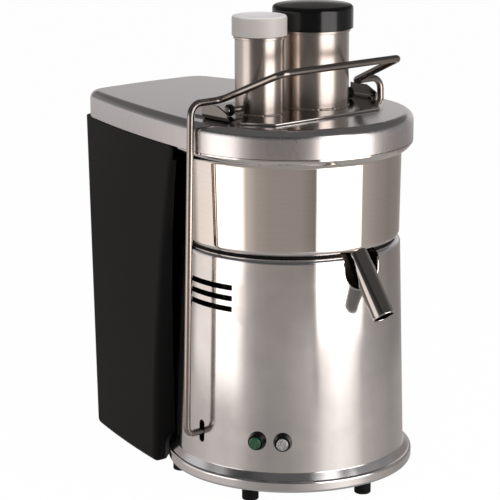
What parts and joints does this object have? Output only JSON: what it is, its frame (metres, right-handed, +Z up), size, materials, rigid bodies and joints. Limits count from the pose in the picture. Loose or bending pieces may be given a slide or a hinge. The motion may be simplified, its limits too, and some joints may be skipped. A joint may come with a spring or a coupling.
{
  "type": "centrifugal juicer",
  "caption": "Centrifugal juicer: cone motor housing, spun bowl with angled spout, hooded lid with feed tubes and pushers, clamp bail and rear pulp bin.",
  "frame": {"origin": "middle of the footprint's bounding box, on the surface that the feet and the bin stand on", "axes": "+Z up, -Y towards the juice spout, +Y towards the pulp bin, +X towards the large feed tube"},
  "size_m": [0.2766, 0.4, 0.4759],
  "materials": {
    "polished_aluminium": "polished",
    "mirror_steel": "mirror polished",
    "rod_steel": "polished drawn rod",
    "satin_steel": "satin brushed",
    "sheet_steel": "mill finish",
    "fastener_steel": "zinc bright",
    "spring_steel": "drawn wire",
    "cast_aluminium": "as cast, machined",
    "motor_iron": "painted laminations",
    "copper_winding": "varnished wire",
    "black_rubber": "matte moulded",
    "bin_black": "fine textured",
    "cap_white": "satin moulded",
    "cap_black": "gloss moulded",
    "bezel_black": "semi gloss",
    "capacitor_grey": "gloss",
    "button_green": "tinted clear",
    "button_clear": "clear"
  },
  "bodies": {
    "machine": {"base_ring": "polished_aluminium", "motor_housing": "polished_aluminium", "juice_bowl": "mirror_steel", "juice_spout": "mirror_steel", "lid": "satin_steel", "bridge_plate": "satin_steel", "small_feed_tube": "satin_steel", "large_feed_tube": "satin_steel", "base_plate": "sheet_steel", "latch_guides": "sheet_steel", "foot_screws": "fastener_steel", "base_screws": "fastener_steel", "deck_screws": "fastener_steel", "motor_screws": "fastener_steel", "bumper_studs": "fastener_steel", "bezel_nuts": "fastener_steel", "upper_bearing": "fastener_steel", "lower_bearing": "fastener_steel", "latch_springs": "spring_steel", "start_spring": "spring_steel", "stop_spring": "spring_steel", "top_deck": "cast_aluminium", "motor_top_bell": "cast_aluminium", "motor_bottom_bell": "cast_aluminium", "motor_can": "motor_iron", "stator_core": "motor_iron", "stator_windings": "copper_winding", "rubber_feet": "black_rubber", "bumper_washers": "black_rubber", "shaft_seal": "black_rubber", "bowl_seal": "black_rubber", "lid_gasket": "black_rubber", "start_bezel": "bezel_black", "stop_bezel": "bezel_black", "switch_blocks": "bezel_black", "safety_switch": "bezel_black", "terminal_block": "bezel_black", "cable_gland": "bezel_black", "gland_nut": "bezel_black", "run_capacitor": "capacitor_grey"},
    "spinner": {"rotor": "motor_iron", "motor_shaft": "fastener_steel", "cooling_fan": "bezel_black", "drive_hub": "cast_aluminium", "filter_basket": "sheet_steel", "grater_disc": "sheet_steel", "disc_nut": "fastener_steel"},
    "small_pusher": {"small_pusher": "cap_white", "small_pusher_plug": "cap_white"},
    "large_pusher": {"large_pusher": "cap_black", "large_pusher_plug": "cap_black"},
    "latch": {"latch_block_left": "fastener_steel", "latch_block_right": "fastener_steel"},
    "bail": {"clamp_bail": "rod_steel"},
    "start_button": {"start_button": "button_green"},
    "stop_button": {"stop_button": "button_clear"},
    "bin": {"pulp_bin": "bin_black"}
  },
  "joints": [
    {"name": "basket_spin", "type": "hinge", "parent": "machine", "child": "spinner", "pos_m": [0, -0.0484, 0.26], "axis": [0, 0, 1], "continuous": true},
    {"name": "small_pusher_lift", "type": "slide", "parent": "machine", "child": "small_pusher", "axis": [0, 0, 1], "range_m": [0, 0.14]},
    {"name": "large_pusher_lift", "type": "slide", "parent": "machine", "child": "large_pusher", "axis": [0, 0, 1], "range_m": [0, 0.14]},
    {"name": "latch_lift", "type": "slide", "parent": "machine", "child": "latch", "axis": [0, 0, 1], "range_m": [0, 0.006], "stiffness_N_per_m": 3000, "deforming": ["latch_springs"]},
    {"name": "bail_swing", "type": "hinge", "parent": "latch", "child": "bail", "pos_m": [0, -0.0464, 0.06], "axis": [1, 0, 0], "range_deg": [0, 75]},
    {"name": "start_press", "type": "slide", "parent": "machine", "child": "start_button", "axis": [0.8471, 0.5314, 0], "range_m": [0, 0.002], "stiffness_N_per_m": 800, "deforming": ["start_spring"]},
    {"name": "stop_press", "type": "slide", "parent": "machine", "child": "stop_button", "axis": [0.7108, 0.7034, 0], "range_m": [0, 0.002], "stiffness_N_per_m": 800, "deforming": ["stop_spring"]},
    {"name": "bin_slide", "type": "slide", "parent": "machine", "child": "bin", "axis": [0, 1, 0], "range_m": [0, 0.25]}
  ]
}
